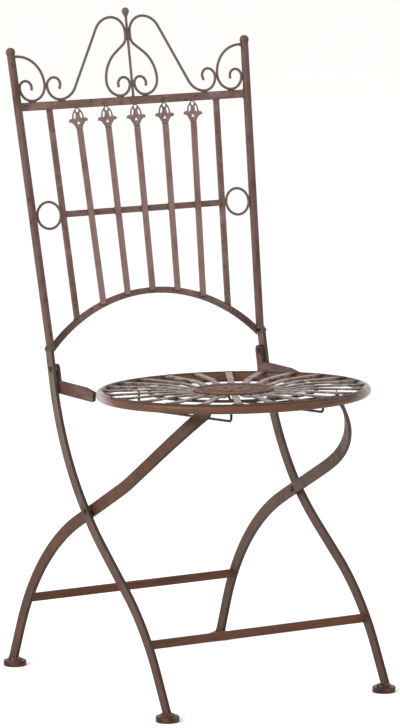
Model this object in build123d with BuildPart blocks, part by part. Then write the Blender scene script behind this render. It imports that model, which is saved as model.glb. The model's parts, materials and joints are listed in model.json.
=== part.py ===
from build123d import *
import os
from math import asin, atan2, cos, degrees, hypot, radians, sin, sqrt, tan

# Folding garden chair of painted iron: crossed flat bar legs, a fan back with a
# scrolled crest, and a round strip seat that folds up against the back.
# Millimetres, +Z up, front towards -Y, right means +X. The origin lies on the floor
# under the middle of the chair's outer box.

os.makedirs("parts", exist_ok=True)

# Clearances
weld_gap = 0.1
pin_fit = 0.05
side_gap = 0.4
rod_gap = 0.3

# Feet
foot_radius = 17.2
foot_height = 8.4
foot_edge = 1.5
collar_radius = 11.5
collar_height = 3.0
foot_inset = 1.5
foot_tuck = 1.5

# Crossing pivot, where the two leg frames meet
crossing_height = 268.0
crossing_pin_radius = 3.0
washer_radius = 9.0
washer_thick = 4.4
head_height = 1.8
head_spread = 1.6

# Front leg bars, which carry the back
front_width = 16.0
front_thick = 5.0
front_plane = 184.3
front_splay = 1.25
front_splay_run = 140.0
front_heading = 47.7
front_waist_heading = 38.05
front_waist_run = 77.0
front_foot_ahead = 230.5
front_foot_run = 60.0
joint_behind = 104.5
joint_height = 496.5
joint_run = 50.0
front_rail_height = 101.8

# Rear leg bars, which bend inwards under the seat
rear_width = 17.5
rear_thick = 5.0
rear_splay = 1.57
rear_splay_start = 20.0
rear_heading = 27.96
rear_low_run = 38.7
rear_foot_behind = 217.5
rear_foot_run = 58.0
rear_high_run = 93.9
rear_top_run = 5.0
rear_turn_start = 120.0
rear_turn_radius = 226.0
rear_rail_height = 109.6
rail_tall = 12.4
rail_deep = 6.0

# Seat
hinge_below_joint = 32.0
hinge_pin_radius = 3.0
seat_ahead_of_hinge = 207.0
seat_below_hinge = 21.4
seat_tilt = 2.2
rim_radius = 193.0
rim_wire = 7.0
strip_count = 24
strip_width = 9.8
strip_thick = 2.5
strip_short = 3.0
strip_sink = 2.4
strip_dip_outer = 115.0
strip_dip_inner = 62.0
strip_dip = 4.5
strip_inner_end = 43.0
tail_width = 16.0
tail_length = 22.0
hoop_radius = 122.0
hoop_wire = 2.2
medallion_radius = 58.5
medallion_thick = 2.2
medallion_bead = 1.4
medallion_boss = 15.0
seat_washer_thick = 2.2
arm_thick = 5.0
arm_tall = 18.6
arm_tab_width = 15.0
arm_lift = 4.3
arm_reach = 111.0
arm_nose = 24.0
arm_drop = 3.5
arm_corner = 5.0

# Sliding rod under the seat and the wire guides that it runs in
rod_radius = 3.5
rod_ahead = 108.2
rod_below = 6.6
rod_travel = 238.5
guide_wire = 1.9
guide_spread = 78.1
guide_drop = 24.3
guide_fall = 7.0
guide_play = 4.0
guide_bend = 5.5
guide_end_below = 3.0

# Back
back_lean = 10.3
upright_radius = 6.0
upright_wall = 1.5
upright_foot_x = 182.4
upright_top_x = 202.6
upright_length = 433.5
cap_radius = 7.0
cap_sink = 2.8
spigot_length = 8.0
bar_deep = 6.0
grid_back = 2.8
scroll_back = 1.2
top_rail_drop = 72.7
top_rail_tall = 12.0
mid_rail_middle = 193.4
mid_rail_tall = 9.2
mid_rail_deep = 4.0
arch_rise = 71.4
arch_foot = -6.0
arch_tall = 9.0
inner_bar_width = 7.5
inner_bar_top_x = 144.8
inner_bar_slope = 0.0434
ring_wire = 1.95
slat_count = 5
slat_width = 9.2
slat_thick = 3.0
head_thick = 1.8
slat_top_pitch = 49.4
slat_foot_pitch = 43.3

# Pierced heads of the slats
head_tall = 35.0
head_lap = 3.0
head_tip = 2.4
head_half = 9.8
head_shoulder = 16.4
hook_half = 16.0
hook_tip = 11.6
head_eye_radius = 2.8
head_eye_height = 28.2
head_leaf_height = 20.4
head_leaf_tall = 10.2
head_leaf_width = 4.4
head_leaf_turn = 12.0
head_notch = 3.2

# Scrolls and rod of the crest
scroll_wire = 2.0
crest_rod_radius = 1.95
crest_rise = 119.2
finial_radius = 5.6
finial_above_crest = 8.0
finial_neck = 9.0
corner_drop = 3.8
corner_run = 3.0
corner_low_share = 0.343
corner_curl_share = 0.152
corner_end_turn = 112.0
crest_foot_bend = 30.0
crest_shoulder = 30.0
crest_top_share = 0.217
curl_low = 20.6
curl_high = 12.3
curl_tip = 10.2
curl_end_turn = 130.0
heart_turn = 52.0
heart_neck_share = 0.16
heart_run_share = 0.186
heart_side_share = 0.5625
heart_low_share = 0.242
heart_curl = 10.0
heart_end_turn = 115.0


def keep(builder, label):
    """Names a finished piece and writes it."""
    builder.part.label = label
    export_step(builder.part, f"parts/{label}.step")


def keep_pair(builder, label):
    """Writes the right-hand piece and its mirror image on the left."""
    keep(builder, f"right_{label}")
    with BuildPart() as other:
        mirror(builder.part, about=Plane.YZ)
    keep(other, f"left_{label}")


def follow(start, heading, steps):
    """Draws runs (one number) and arcs (radius, turn) one after another from start."""
    x, y = start
    for step in steps:
        ahead = (cos(radians(heading)), sin(radians(heading)))
        if isinstance(step, tuple):
            radius, turn = step
            JernArc((x, y), ahead, radius, turn)
            side = radius if turn > 0 else -radius
            x += side * (sin(radians(heading + turn)) - sin(radians(heading)))
            y -= side * (cos(radians(heading + turn)) - cos(radians(heading)))
            heading += turn
        else:
            Line((x, y), (x + step * ahead[0], y + step * ahead[1]))
            x += step * ahead[0]
            y += step * ahead[1]
    return x, y, heading


def advance(start, heading, length):
    """The point a straight run leads to."""
    return start[0] + length * cos(radians(heading)), start[1] + length * sin(radians(heading))


def bend_into(start, heading, end, last_run):
    """The arc that leaves start along heading and ends in a straight run into end."""
    step = (end[0] - start[0], end[1] - start[1])
    ahead = step[0] * cos(radians(heading)) + step[1] * sin(radians(heading))
    aside = step[1] * cos(radians(heading)) - step[0] * sin(radians(heading))
    radius = (ahead**2 + aside**2 - last_run**2) / (2 * abs(aside))
    turn = degrees(atan2(ahead, radius - abs(aside)) - atan2(last_run, radius))
    return radius, turn if aside > 0 else -turn


# Places worked out from the sizes above
foot_top = foot_height + collar_height
tilt = radians(seat_tilt)
lean = radians(back_lean)
rim_outer = rim_radius + rim_wire
front_inner_face = front_plane - front_thick / 2
rear_plane = front_inner_face - washer_thick - weld_gap - rear_thick / 2

# Side view of the front leg, measured from the crossing pivot before it is placed
joint_step = (joint_behind, joint_height - crossing_height)
front_high_radius, front_high_turn = bend_into((0, 0), front_heading, joint_step, joint_run)
joint_heading = front_heading + front_high_turn
hinge_step = advance(joint_step, joint_heading, -hinge_below_joint)
seat_step = hinge_step[0] - seat_ahead_of_hinge

# The crossing pivot stands where the outer box is centred on the origin
rear_most = rear_foot_behind - foot_tuck + foot_radius
front_most = seat_step - rim_outer * cos(tilt)
crossing = (-(rear_most + front_most) / 2, crossing_height)
joint = (crossing[0] + joint_step[0], joint_height)
hinge = (crossing[0] + hinge_step[0], crossing[1] + hinge_step[1])
front_foot = (crossing[0] - front_foot_ahead, foot_top)
rear_foot = (crossing[0] + rear_foot_behind, foot_top)

seat_origin = (0, hinge[0] - seat_ahead_of_hinge, hinge[1] - seat_below_hinge)
seat_plane = Plane(seat_origin, x_dir=(1, 0, 0), z_dir=(0, sin(tilt), cos(tilt)))
seat_radial = Plane(seat_origin, x_dir=(1, 0, 0), z_dir=-seat_plane.y_dir)
seat_axis = Axis(seat_origin, seat_plane.z_dir)
rod_place = seat_plane.from_local_coords((0, -rod_ahead, -rod_below))
rod_point = (rod_place.Y, rod_place.Z)

# Front leg path from its waist down to the foot
front_waist_turn = front_waist_heading - front_heading
front_down = front_heading + 180
front_mid_arc = (front_high_radius, front_waist_turn)
waist_chord = 2 * front_high_radius * sin(radians(-front_waist_turn / 2))
waist_start = advance(crossing, front_down + front_waist_turn / 2, waist_chord)
waist_end = advance(waist_start, front_down + front_waist_turn, front_waist_run)
front_low_arc = bend_into(waist_end, front_down + front_waist_turn, front_foot, front_foot_run)

# Rear leg path down to the foot and up to the rod
rear_down = -rear_heading
rear_knee = advance(crossing, rear_down, rear_low_run)
rear_low_arc = bend_into(rear_knee, rear_down, rear_foot, rear_foot_run)
rear_up = 180 - rear_heading
rear_elbow = advance(crossing, rear_up, rear_high_run)
rear_high_arc = bend_into(rear_elbow, rear_up, rod_point, rear_top_run)

# Frames that give each bar its sideways bends
end_spare = 30.0
front_rise = atan2(joint[1] - front_foot[1], joint[0] - front_foot[0])
front_along = Plane(
    (0, *crossing), x_dir=(0, cos(front_rise), sin(front_rise)),
    z_dir=(0, sin(front_rise), -cos(front_rise)))
rear_rise = atan2(rod_point[1] - crossing[1], rod_point[0] - crossing[0])
rear_along = Plane(
    (0, *crossing), x_dir=(0, cos(rear_rise), sin(rear_rise)),
    z_dir=(0, sin(rear_rise), -cos(rear_rise)))
rod_distance = hypot(rod_point[0] - crossing[0], rod_point[1] - crossing[1])
rear_turn = degrees(asin((rod_distance - rear_turn_start) / rear_turn_radius))
rod_half = rear_plane - rear_turn_radius * (1 - cos(radians(rear_turn)))

back = Plane((0, *joint), x_dir=(1, 0, 0), z_dir=(0, -cos(lean), sin(lean)))
grid = back.offset(-grid_back)
scrolls = back.offset(-scroll_back)
upright_splay = atan2(upright_top_x - upright_foot_x, upright_length)
top_rail_high = upright_length - top_rail_drop
top_rail_low = top_rail_high - top_rail_tall
upright_base = Plane(
    back.from_local_coords((upright_foot_x, 0, 0)), x_dir=back.z_dir,
    z_dir=back.x_dir * sin(upright_splay) + back.y_dir * cos(upright_splay))


def upright_x(height):
    """Half spacing of the upright axes at a height along the back."""
    return upright_foot_x + height * tan(upright_splay)


def inner_bar_x(height):
    """Half spacing of the inner bars at a height along the back."""
    return inner_bar_top_x - inner_bar_slope * (top_rail_low - height)


def front_leg_x(y, z):
    """Half spacing of the front leg bars at a point below the crossing."""
    below = (crossing[0] - y) * cos(front_rise) + (crossing[1] - z) * sin(front_rise)
    splay_run = front_splay_run * cos(radians(front_splay))
    return front_plane + min(below, splay_run) * tan(radians(front_splay))


def rear_leg_x(y, z):
    """Half spacing of the rear leg bars at a point below the crossing."""
    along = (y - crossing[0]) * cos(rear_rise) + (z - crossing[1]) * sin(rear_rise)
    return rear_plane - (along + rear_splay_start) * tan(radians(rear_splay))


def arc_centre(start, heading, arc):
    """Centre of an arc that leaves start along heading."""
    return advance(start, heading + (90 if arc[1] > 0 else -90), arc[0])


# Front leg bar: a flat bar cut to its side outline and sprung outwards below the crossing
with BuildPart() as front_leg:
    with BuildSketch(Plane.YZ):
        with BuildLine():
            follow(crossing, front_heading, [(front_high_radius, front_high_turn), joint_run + end_spare])
            follow(
                crossing, front_down,
                [front_mid_arc, front_waist_run, front_low_arc, front_foot_run + end_spare])
        trace(line_width=front_width)
    extrude(amount=2 * front_plane)
    with BuildSketch(front_along):
        with BuildLine():
            follow((0, front_plane), 0, [2 * joint_height])
            follow((0, front_plane), 180 - front_splay, [front_splay_run])
            follow(advance((0, front_plane), 180 - front_splay, front_splay_run), 180, [2 * joint_height])
        trace(line_width=front_thick)
    extrude(amount=joint_height, both=True, mode=Mode.INTERSECT)
    split(bisect_by=Plane.XY.offset(foot_top), keep=Keep.TOP)
    split(bisect_by=upright_base, keep=Keep.BOTTOM)
    with BuildSketch(Plane.YZ):
        with Locations(crossing):
            Circle(crossing_pin_radius + pin_fit)
        with Locations(hinge):
            Circle(hinge_pin_radius + pin_fit)
    extrude(amount=2 * front_plane, mode=Mode.SUBTRACT)
keep_pair(front_leg, "front_leg")

# Rear leg bar: splayed to the foot, flat at the crossing, turned inwards to the rod
with BuildPart() as rear_leg:
    with BuildSketch(Plane.YZ):
        with BuildLine():
            follow(crossing, rear_up, [rear_high_run, rear_high_arc, rear_top_run + end_spare])
            follow(crossing, rear_down, [rear_low_run, rear_low_arc, rear_foot_run + end_spare])
        trace(line_width=rear_width)
    extrude(amount=2 * rear_plane)
    with BuildSketch(rear_along):
        with BuildLine():
            follow((0, rear_plane), 0, [rear_turn_start, (rear_turn_radius, -rear_turn - 5)])
            follow((0, rear_plane), 180, [rear_splay_start])
            follow((-rear_splay_start, rear_plane), 180 - rear_splay, [2 * crossing_height])
        trace(line_width=rear_thick)
    extrude(amount=joint_height, both=True, mode=Mode.INTERSECT)
    split(bisect_by=Plane.XY.offset(foot_top), keep=Keep.TOP)
    split(bisect_by=Plane.YZ.offset(rod_half), keep=Keep.TOP)
    with BuildSketch(Plane.YZ):
        with Locations(crossing):
            Circle(crossing_pin_radius + pin_fit)
    extrude(amount=2 * rear_plane, mode=Mode.SUBTRACT)
keep_pair(rear_leg, "rear_leg")

# Feet: pressed round pads with a welded collar under each bar
for foot_name, foot_x, foot_y in (
    ("front_foot", front_leg_x(*front_foot), front_foot[0] + foot_tuck),
    ("rear_foot", rear_leg_x(*rear_foot), rear_foot[0] - foot_tuck),
):
    foot_middle = Plane((foot_x - foot_inset, foot_y, 0))
    with BuildPart(foot_middle) as foot:
        Cylinder(foot_radius, foot_height, align=(Align.CENTER, Align.CENTER, Align.MIN))
        fillet(foot.faces().filter_by(Axis.Z).edges(), foot_edge)
        with BuildSketch(foot_middle.offset(foot_height)):
            Circle(collar_radius)
        extrude(amount=collar_height, taper=25)
    keep_pair(foot, foot_name)

# Cross rails of the two leg frames, butted between the bars
front_bow = arc_centre(waist_end, front_down + front_waist_turn, front_low_arc)
front_rail_y = front_bow[0] - sqrt(front_low_arc[0] ** 2 - (front_rail_height - front_bow[1]) ** 2)
rear_bow = arc_centre(rear_knee, rear_down, rear_low_arc)
rear_rail_y = rear_bow[0] + sqrt(rear_low_arc[0] ** 2 - (rear_rail_height - rear_bow[1]) ** 2)
for rail_name, rail_at, rail_half in (
    ("front_stretcher", (front_rail_y, front_rail_height),
     front_leg_x(front_rail_y, front_rail_height) - front_thick / 2),
    ("rear_stretcher", (rear_rail_y, rear_rail_height),
     rear_leg_x(rear_rail_y, rear_rail_height) - rear_thick / 2),
):
    with BuildPart() as stretcher:
        with Locations((0, *rail_at)):
            Box(2 * (rail_half - 2 * weld_gap), rail_deep, rail_tall)
        fillet(stretcher.edges().filter_by(Axis.X), rail_deep / 6)
    keep(stretcher, rail_name)

# Rivets: each pin is fixed in the front leg bar and has a domed head at both ends
arm_outer = front_inner_face - seat_washer_thick - side_gap
hinge_inner = arm_outer - arm_thick - side_gap
crossing_inner = rear_plane - rear_thick / 2 - side_gap
rivet_outer = front_plane + front_thick / 2 + weld_gap
for rivet_name, rivet_at, rivet_inner, rivet_radius in (
    ("seat_rivet", hinge, hinge_inner, hinge_pin_radius),
    ("leg_rivet", crossing, crossing_inner, crossing_pin_radius),
):
    with BuildPart() as rivet:
        with BuildSketch(Plane((0, *rivet_at), x_dir=(1, 0, 0), z_dir=(0, -1, 0))):
            with BuildLine():
                Polyline(
                    (rivet_inner - head_height, 0), (rivet_outer + head_height, 0),
                    (rivet_outer + head_height, rivet_radius - head_spread / 2),
                    (rivet_outer + head_height / 2, rivet_radius + head_spread * 0.8),
                    (rivet_outer, rivet_radius + head_spread), (rivet_outer, rivet_radius),
                    (rivet_inner, rivet_radius), (rivet_inner, rivet_radius + head_spread),
                    (rivet_inner - head_height / 2, rivet_radius + head_spread * 0.8),
                    (rivet_inner - head_height, rivet_radius - head_spread / 2), close=True)
            make_face()
        revolve(axis=Axis((0, *rivet_at), (1, 0, 0)))
    keep_pair(rivet, rivet_name)

# Washers that keep the moving bars clear of the front leg bars
for washer_name, washer_at, washer_height, washer_bore in (
    ("leg_washer", crossing, washer_thick, crossing_pin_radius + pin_fit),
    ("seat_washer", hinge, seat_washer_thick, hinge_pin_radius + pin_fit),
):
    with BuildPart() as washer:
        with BuildSketch(Plane.YZ.offset(front_inner_face - washer_height)):
            with Locations(washer_at):
                Circle(washer_radius if washer_at == crossing else arm_tab_width / 2)
                Circle(washer_bore, mode=Mode.SUBTRACT)
        extrude(amount=washer_height)
    keep_pair(washer, washer_name)

# Seat rim and the hoop that the strips cross
with BuildPart() as seat_rim:
    with BuildSketch(seat_radial):
        with Locations((rim_radius, 0)):
            Circle(rim_wire)
    revolve(axis=seat_axis)
keep(seat_rim, "seat_rim")

strip_under = rim_wire - strip_sink
with BuildPart() as seat_hoop:
    with BuildSketch(seat_radial):
        with Locations((hoop_radius, strip_under - weld_gap - hoop_wire)):
            Circle(hoop_wire)
    revolve(axis=seat_axis)
keep(seat_hoop, "seat_hoop")

# Seat strips: forked ends coped to the rim, and a dip towards the medallion
strip_middle = strip_under + strip_thick / 2
dip_run = strip_dip_outer - strip_dip_inner
dip_turn = 2 * degrees(atan2(strip_dip, dip_run))
dip_radius = dip_run / (2 * sin(radians(dip_turn)))
strip_end = rim_radius - strip_short
with BuildPart() as strip:
    with BuildSketch(Plane.XZ):
        with BuildLine():
            follow(
                (strip_end, strip_middle), 180,
                [strip_end - strip_dip_outer, (dip_radius, dip_turn), (dip_radius, -dip_turn),
                 strip_dip_inner - strip_inner_end])
        trace(line_width=strip_thick)
    extrude(amount=strip_width / 2, both=True)
    with BuildSketch(Plane.XY.offset(strip_under)):
        with BuildLine():
            tail_edge = ThreePointArc(
                (strip_end - tail_length, strip_width / 2),
                (strip_end - tail_length * 0.4, strip_width / 2 + (tail_width - strip_width) * 0.18),
                (strip_end, tail_width / 2))
            Line(tail_edge @ 1, (strip_end - tail_length * 0.2, 0))
            Line((strip_end - tail_length * 0.2, 0), (strip_end - tail_length, 0))
            Line((strip_end - tail_length, 0), tail_edge @ 0)
        make_face()
        mirror(about=Plane.XZ)
    extrude(amount=strip_thick)
    with BuildSketch(Plane.XZ):
        with Locations((rim_radius, 0)):
            Circle(rim_wire + weld_gap)
    revolve(axis=Axis.Z, mode=Mode.SUBTRACT)

with BuildPart(seat_plane) as seat_strips:
    with PolarLocations(0, strip_count):
        add(strip.part)
keep(seat_strips, "seat_strips")

# Medallion: a pressed plate with a rolled edge and a low boss
plate_low = strip_under - strip_dip + strip_thick + weld_gap
plate_high = plate_low + medallion_thick
with BuildPart() as medallion:
    with BuildSketch(seat_radial):
        with BuildLine():
            Polyline(
                (0, plate_low), (medallion_radius, plate_low), (medallion_radius, plate_high),
                (medallion_radius - medallion_bead, plate_high + medallion_bead),
                (medallion_radius - 3 * medallion_bead, plate_high + medallion_bead),
                (medallion_radius - 5 * medallion_bead, plate_high),
                (medallion_boss, plate_high), (medallion_boss * 0.7, plate_high + medallion_bead),
                (0, plate_high + 1.5 * medallion_bead), close=True)
        make_face()
    revolve(axis=seat_axis)
keep(medallion, "seat_medallion")

# Seat arms: flat plates welded to the rim, with a tab that turns on the seat rivet
arm_middle = seat_origin[2] - arm_lift
arm_low = arm_middle - arm_tall / 2
arm_high = arm_middle + arm_tall / 2
tab_foot = advance(hinge, joint_heading, -(hinge[1] - arm_middle) / sin(radians(joint_heading)))
arm_rear = tab_foot[0] + arm_tab_width / 2
arm_front = arm_rear - arm_reach
with BuildPart() as seat_arm:
    with BuildSketch(Plane.YZ.offset(arm_outer - arm_thick)):
        with BuildLine():
            Line(hinge, tab_foot)
        trace(line_width=arm_tab_width)
        with Locations(hinge):
            Circle(arm_tab_width / 2)
        with BuildLine():
            arm_edge = Polyline(
                (arm_front + arm_corner, arm_low), (arm_rear, arm_low), (arm_rear, arm_high),
                (arm_front + arm_nose, arm_high), (arm_front, arm_high - arm_drop),
                (arm_front, arm_low + arm_corner))
            TangentArc(arm_edge @ 1, arm_edge @ 0, tangent=(0, -1))
        make_face()
        with Locations(hinge):
            Circle(hinge_pin_radius + pin_fit, mode=Mode.SUBTRACT)
    extrude(amount=arm_thick)
    with BuildSketch(seat_radial):
        with Locations((rim_radius, 0)):
            Circle(rim_wire + weld_gap)
    revolve(axis=seat_axis, mode=Mode.SUBTRACT)
keep_pair(seat_arm, "seat_arm")

# Wire guides under the seat: the rod runs inside their long loops
guide_front = -(rod_ahead + rod_radius + guide_play + guide_wire)
guide_rear = rod_travel - rod_ahead + rod_radius + guide_wire + weld_gap * 10
guide_end = sqrt(rim_radius**2 - guide_spread**2)
guide_plane = Plane(
    seat_plane.from_local_coords((guide_spread, 0, 0)), x_dir=seat_plane.y_dir, z_dir=(1, 0, 0))
with BuildPart() as slide_guide:
    with BuildLine(guide_plane) as guide_line:
        FilletPolyline(
            (-guide_end, -guide_end_below), (guide_front, -guide_end_below),
            (guide_front, -guide_drop), (guide_rear, -guide_drop - guide_fall),
            (guide_rear, -guide_end_below), (guide_end, -guide_end_below), radius=guide_bend)
    guide_path = guide_line.wire()
    with BuildSketch(Plane(guide_path @ 0, z_dir=guide_path % 0)):
        Circle(guide_wire)
    sweep(path=guide_path)
    with BuildSketch(seat_radial):
        with Locations((rim_radius, 0)):
            Circle(rim_wire + weld_gap)
    revolve(axis=seat_axis, mode=Mode.SUBTRACT)
keep_pair(slide_guide, "slide_guide")

with BuildPart() as slide_rod:
    with BuildSketch(Plane.YZ):
        with Locations(rod_point):
            Circle(rod_radius)
    extrude(amount=rod_half - rod_gap, both=True)
keep(slide_rod, "slide_rod")

# Uprights: round tubes that stand on the front leg bars and fan outwards
with BuildPart() as upright:
    with BuildSketch(upright_base):
        Circle(upright_radius)
        Circle(upright_radius - upright_wall, mode=Mode.SUBTRACT)
    extrude(amount=upright_length)
keep_pair(upright, "upright")

with BuildPart() as upright_cap:
    with BuildSketch(upright_base.offset(upright_length)):
        Circle(upright_radius - upright_wall - weld_gap)
    extrude(amount=-spigot_length)
    with Locations(Location(upright_base.offset(upright_length + cap_sink))):
        Sphere(cap_radius)
    split(bisect_by=upright_base.offset(upright_length - spigot_length), keep=Keep.TOP)
    with BuildSketch(upright_base.offset(upright_length)):
        Circle(2 * cap_radius)
        Circle(upright_radius - upright_wall - weld_gap, mode=Mode.SUBTRACT)
    extrude(amount=-spigot_length, mode=Mode.SUBTRACT)
keep_pair(upright_cap, "upright_cap")

# Room that the uprights take up in the pieces welded to them
with BuildPart() as upright_room:
    with BuildSketch(upright_base):
        Circle(upright_radius + weld_gap)
    extrude(amount=upright_length, both=True)
    mirror(about=Plane.YZ)

# Top rail between the uprights
with BuildPart() as top_rail:
    with BuildSketch(grid):
        with Locations((0, top_rail_low)):
            Rectangle(2 * upright_x(top_rail_low), top_rail_tall, align=(Align.CENTER, Align.MIN))
    extrude(amount=bar_deep / 2, both=True)
    add(upright_room.part, mode=Mode.SUBTRACT)
keep(top_rail, "top_rail")

# Arch that closes the fan at the bottom
arch_half = upright_x(arch_foot)
arch_sag = arch_rise - arch_foot
arch_radius = (arch_half**2 + arch_sag**2) / (2 * arch_sag)
arch_middle = arch_rise - arch_radius
with BuildPart() as arch:
    with BuildSketch(grid):
        with BuildLine():
            ThreePointArc((-arch_half, arch_foot), (0, arch_rise), (arch_half, arch_foot))
        trace(line_width=arch_tall)
        Rectangle(2 * (front_inner_face - weld_gap), 4 * arch_sag, mode=Mode.INTERSECT)
    extrude(amount=bar_deep / 2, both=True)
    add(upright_room.part, mode=Mode.SUBTRACT)
keep(arch, "arch")

# Inner bars from the top rail down to the arch
with BuildPart() as inner_bar:
    with BuildSketch(grid):
        with BuildLine():
            Line((inner_bar_x(0), 0), (inner_bar_x(top_rail_high), top_rail_high))
        trace(line_width=inner_bar_width)
        with Locations((0, top_rail_low - weld_gap)):
            Rectangle(2 * upright_top_x, top_rail_low, align=(Align.CENTER, Align.MIN), mode=Mode.SUBTRACT)
        with Locations((0, arch_middle)):
            Circle(arch_radius + arch_tall / 2 + weld_gap, mode=Mode.SUBTRACT)
    extrude(amount=bar_deep / 2, both=True)
keep_pair(inner_bar, "inner_bar")

# Middle rail behind the slats
inner_bar_tilt = atan2(inner_bar_slope, 1)
inner_bar_half = inner_bar_width / 2 / cos(inner_bar_tilt)
mid_low = mid_rail_middle - mid_rail_tall / 2
mid_half = inner_bar_x(mid_low) - inner_bar_half - weld_gap
with BuildPart() as mid_rail:
    with BuildSketch(grid.offset(bar_deep / 2 - mid_rail_deep)):
        with Locations((0, mid_rail_middle)):
            Rectangle(2 * mid_half, mid_rail_tall)
    extrude(amount=mid_rail_deep)
keep(mid_rail, "mid_rail")

# Slats and their pierced heads, laid on the front of the rails and the arch
slat_face = grid.offset(bar_deep / 2 + weld_gap)
neck_height = top_rail_low + head_lap - head_tall
for slat_number in range(slat_count):
    place = slat_number - (slat_count - 1) / 2
    slat_foot_x = place * slat_foot_pitch
    slat_foot = (slat_foot_x, arch_middle + sqrt(arch_radius**2 - slat_foot_x**2))
    slat_neck = (place * slat_top_pitch, neck_height)
    with BuildPart() as slat:
        with BuildSketch(slat_face):
            with BuildLine():
                Line(slat_foot, slat_neck)
            trace(line_width=slat_width)
        extrude(amount=slat_thick)
    keep(slat, f"slat_{slat_number + 1}")

    slat_turn = atan2(slat_neck[0] - slat_foot[0], slat_neck[1] - slat_foot[1])
    head_plane = Plane(
        slat_face.from_local_coords((*slat_neck, 0)),
        x_dir=back.x_dir * cos(slat_turn) - back.y_dir * sin(slat_turn), z_dir=back.z_dir)
    with BuildPart() as slat_head:
        with BuildSketch(head_plane):
            with BuildLine():
                flare = ThreePointArc(
                    (slat_width / 2, weld_gap), (head_half * 0.66, hook_tip * 0.4),
                    (head_half * 1.14, hook_tip * 0.92))
                hook_point = Line(flare @ 1, (hook_half, hook_tip))
                hook_back = ThreePointArc(
                    hook_point @ 1, (hook_half * 0.94, head_shoulder * 0.92),
                    (hook_half * 0.77, head_shoulder))
                shoulder = Line(hook_back @ 1, (head_half, head_shoulder))
                point = ThreePointArc(
                    shoulder @ 1, (head_half * 0.82, head_shoulder + (head_tall - head_shoulder) * 0.42),
                    (head_tip / 2, head_tall - head_lap))
                Line(point @ 1, (head_tip / 2, head_tall))
                Line((head_tip / 2, head_tall), (0, head_tall))
                Line((0, head_tall), (0, weld_gap))
                Line((0, weld_gap), flare @ 0)
            make_face()
            mirror(about=Plane.YZ)
            with Locations((0, head_eye_height)):
                Circle(head_eye_radius, mode=Mode.SUBTRACT)
            with Locations(
                Location((head_half * 0.55, head_leaf_height), head_leaf_turn),
                Location((-head_half * 0.55, head_leaf_height), -head_leaf_turn),
            ):
                Ellipse(head_leaf_width / 2, head_leaf_tall / 2, mode=Mode.SUBTRACT)
            with BuildLine():
                Polyline(
                    (-head_notch, hook_tip * 0.68), (head_notch, hook_tip * 0.68),
                    (0, hook_tip * 0.68 + 1.8 * head_notch), close=True)
            make_face(mode=Mode.SUBTRACT)
        extrude(amount=head_thick)
    keep(slat_head, f"slat_finial_{slat_number + 1}")

# Rings between the inner bars and the uprights
ring_left = inner_bar_x(mid_rail_middle) + inner_bar_half
ring_right = upright_x(mid_rail_middle) - upright_radius / cos(upright_splay)
ring_radius = (ring_right - ring_left) / 2 - weld_gap - ring_wire
ring_middle = back.from_local_coords(((ring_left + ring_right) / 2, mid_rail_middle, 0))
with BuildPart() as ring:
    with BuildSketch(Plane(ring_middle, x_dir=(1, 0, 0), z_dir=-back.y_dir)):
        with Locations((ring_radius, 0)):
            Circle(ring_wire)
    revolve(axis=Axis(ring_middle, back.z_dir))
keep_pair(ring, "ring")

# Corner scrolls, from the upright round to a curl that touches rail and upright
wire_rest = top_rail_high + scroll_wire + weld_gap
corner_start = upright_length * cos(upright_splay) - corner_drop
corner_height = corner_start - wire_rest
corner_low = corner_height * corner_low_share
corner_curl = corner_height * corner_curl_share
corner_big = corner_height - corner_low
corner_left = upright_x(corner_start) - upright_radius - corner_run - corner_big
corner_bottom = corner_left + corner_low
upright_slope = tan(upright_splay)
upright_clear = sqrt((upright_radius + scroll_wire + weld_gap) ** 2 - scroll_back**2)
corner_wall = upright_clear / cos(upright_splay)
corner_rise = (upright_x(wire_rest) - corner_wall - corner_bottom) / (1 - upright_slope)
with BuildPart() as corner_scroll:
    with BuildLine(scrolls) as corner_line:
        follow(
            (upright_x(corner_start), corner_start), 180,
            [upright_radius + corner_run, (corner_big, 90), (corner_low, 90), (corner_rise, 90),
             (corner_curl, 90), (corner_curl, corner_end_turn)])
    corner_path = corner_line.wire()
    with BuildSketch(Plane(corner_path @ 0, z_dir=corner_path % 0)):
        Circle(scroll_wire)
    sweep(path=corner_path)
    add(upright_room.part, mode=Mode.SUBTRACT)
keep_pair(corner_scroll, "corner_scroll")

# Crest scrolls, from the outer curl up over the crest and down into the heart
crest_height = top_rail_high + crest_rise
crest_foot_x = corner_left - 2 * scroll_wire - weld_gap - curl_low
crest_top_x = crest_top_share * crest_foot_x
crest_bends = crest_foot_bend + crest_shoulder
crest_across = crest_foot_x - crest_top_x
crest_up = crest_height - wire_rest - crest_bends
crest_chord = hypot(crest_across, crest_up)
crest_run = sqrt(crest_chord**2 - crest_bends**2)
crest_turn = degrees(atan2(crest_up, crest_across) + asin(crest_bends / crest_chord))
rod_side = crest_rod_radius + scroll_wire + weld_gap
crest_over = crest_top_x - rod_side
heart_height = crest_height - crest_over - wire_rest
heart_neck = heart_height * heart_neck_share
heart_run = heart_height * heart_run_share
heart_side = heart_height * heart_side_share
heart_low = heart_height * heart_low_share
heart_lead = cos(radians(heart_turn))
heart_drop = sin(radians(heart_turn))
heart_straight = (
    heart_height - heart_low - heart_run * heart_lead - (heart_neck + heart_side) * heart_drop)
heart_out = (heart_neck + heart_side) * (1 - heart_lead) + heart_run * heart_drop - heart_low
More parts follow.
